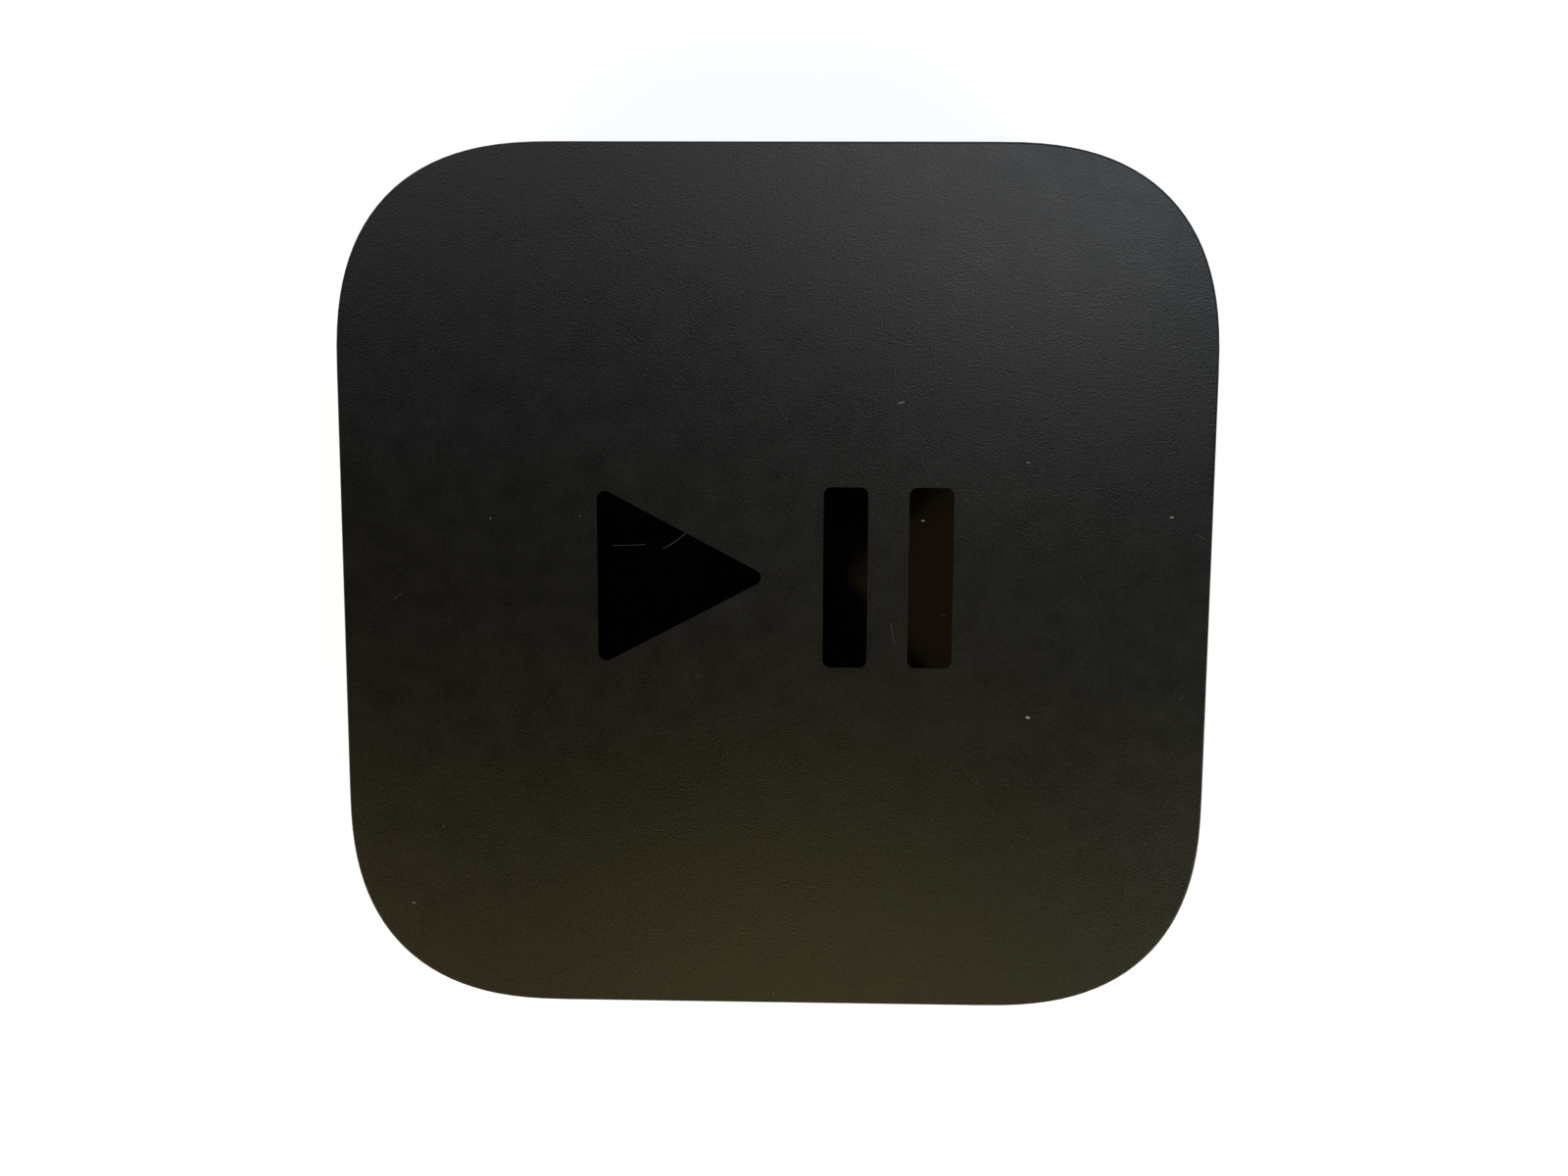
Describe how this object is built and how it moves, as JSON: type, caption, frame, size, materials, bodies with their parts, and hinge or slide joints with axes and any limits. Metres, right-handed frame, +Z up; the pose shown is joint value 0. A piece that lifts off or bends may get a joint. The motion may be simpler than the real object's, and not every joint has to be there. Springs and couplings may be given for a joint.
{
  "type": "streaming media player",
  "caption": "Square set-top box with rounded corners: moulded black casing, vented base with a round rubber foot, rear sockets, and a cooling fan that turns inside.",
  "frame": {"origin": "centre of the box's footprint, on the surface that the foot stands on", "axes": "+Z up through the top, -Y towards the front with the status light, +Y towards the rear sockets, +X to the right seen from the front"},
  "size_m": [0.098, 0.098, 0.035],
  "materials": {
    "casing": "black moulded plastic, fine matte top, gloss sides and a polished mark",
    "base": "satin black moulded plastic",
    "foot": "soft matte black rubber",
    "fan_plastic": "satin black moulded plastic",
    "connector": "satin black glass-filled plastic",
    "heat_sink": "cast, bead-blasted",
    "steel": "nickel-plated sheet and turned steel",
    "brass": "turned",
    "gold": "gold-plated spring contacts",
    "copper": "enamelled copper winding",
    "ferrite": "dull dark grey sintered core",
    "green_board": "glass-epoxy board with green solder mask",
    "black_board": "glass-epoxy board with black solder mask",
    "chip": "matte black epoxy package",
    "pad": "soft grey silicone",
    "cable_film": "amber polyimide film",
    "insulator": "translucent yellowish film",
    "sleeve": "dark blue shrink sleeve",
    "film_capacitor": "yellow moulded box",
    "clear": "clear moulded plastic"
  },
  "bodies": {
    "root": {"top_shell": "casing", "base_cover": "base", "foot_pad": "foot", "air_guide": "base", "fan_plate": "steel", "fan_bearing": "brass", "fan_stator_core": "ferrite", "fan_circuit": "green_board", "fan_cable": "cable_film", "fan_screw_1": "steel", "fan_screw_2": "steel", "fan_screw_3": "steel", "fan_screw_4": "steel", "heat_sink": "heat_sink", "thermal_pad": "pad", "logic_board": "black_board", "processor": "chip", "memory_chip": "chip", "storage_chip": "chip", "wireless_module": "steel", "board_shield": "steel", "network_transformer": "chip", "fan_socket": "connector", "inlet_body": "connector", "inlet_pin_1": "steel", "inlet_pin_2": "steel", "hdmi_shell": "steel", "hdmi_tongue": "connector", "network_jack": "connector", "network_jack_shield": "steel", "network_contacts": "gold", "supply_board": "green_board", "supply_insulator": "insulator", "supply_transformer": "ferrite", "bulk_capacitor_1": "sleeve", "bulk_capacitor_2": "sleeve", "line_choke": "copper", "filter_capacitor": "film_capacitor", "output_capacitor_1": "sleeve", "output_capacitor_2": "sleeve", "supply_spacer_1": "brass", "supply_spacer_2": "brass", "supply_spacer_3": "brass", "supply_spacer_4": "brass", "stack_screw_1": "steel", "stack_screw_2": "steel", "stack_screw_3": "steel", "stack_screw_4": "steel", "sensor_board": "green_board", "status_lamp": "clear", "light_pipe": "clear", "infrared_receiver": "chip", "sensor_connector": "connector", "aerial_left": "steel", "aerial_right": "steel"},
    "fan_rotor": {"fan_impeller": "fan_plastic", "fan_rotor_yoke": "steel", "fan_magnet_ring": "ferrite", "fan_shaft": "steel"}
  },
  "joints": [
    {"name": "fan_spin", "type": "hinge", "parent": "root", "child": "fan_rotor", "pos_m": [0, 0, 0.0085], "axis": [0, 0, 1], "continuous": true}
  ]
}
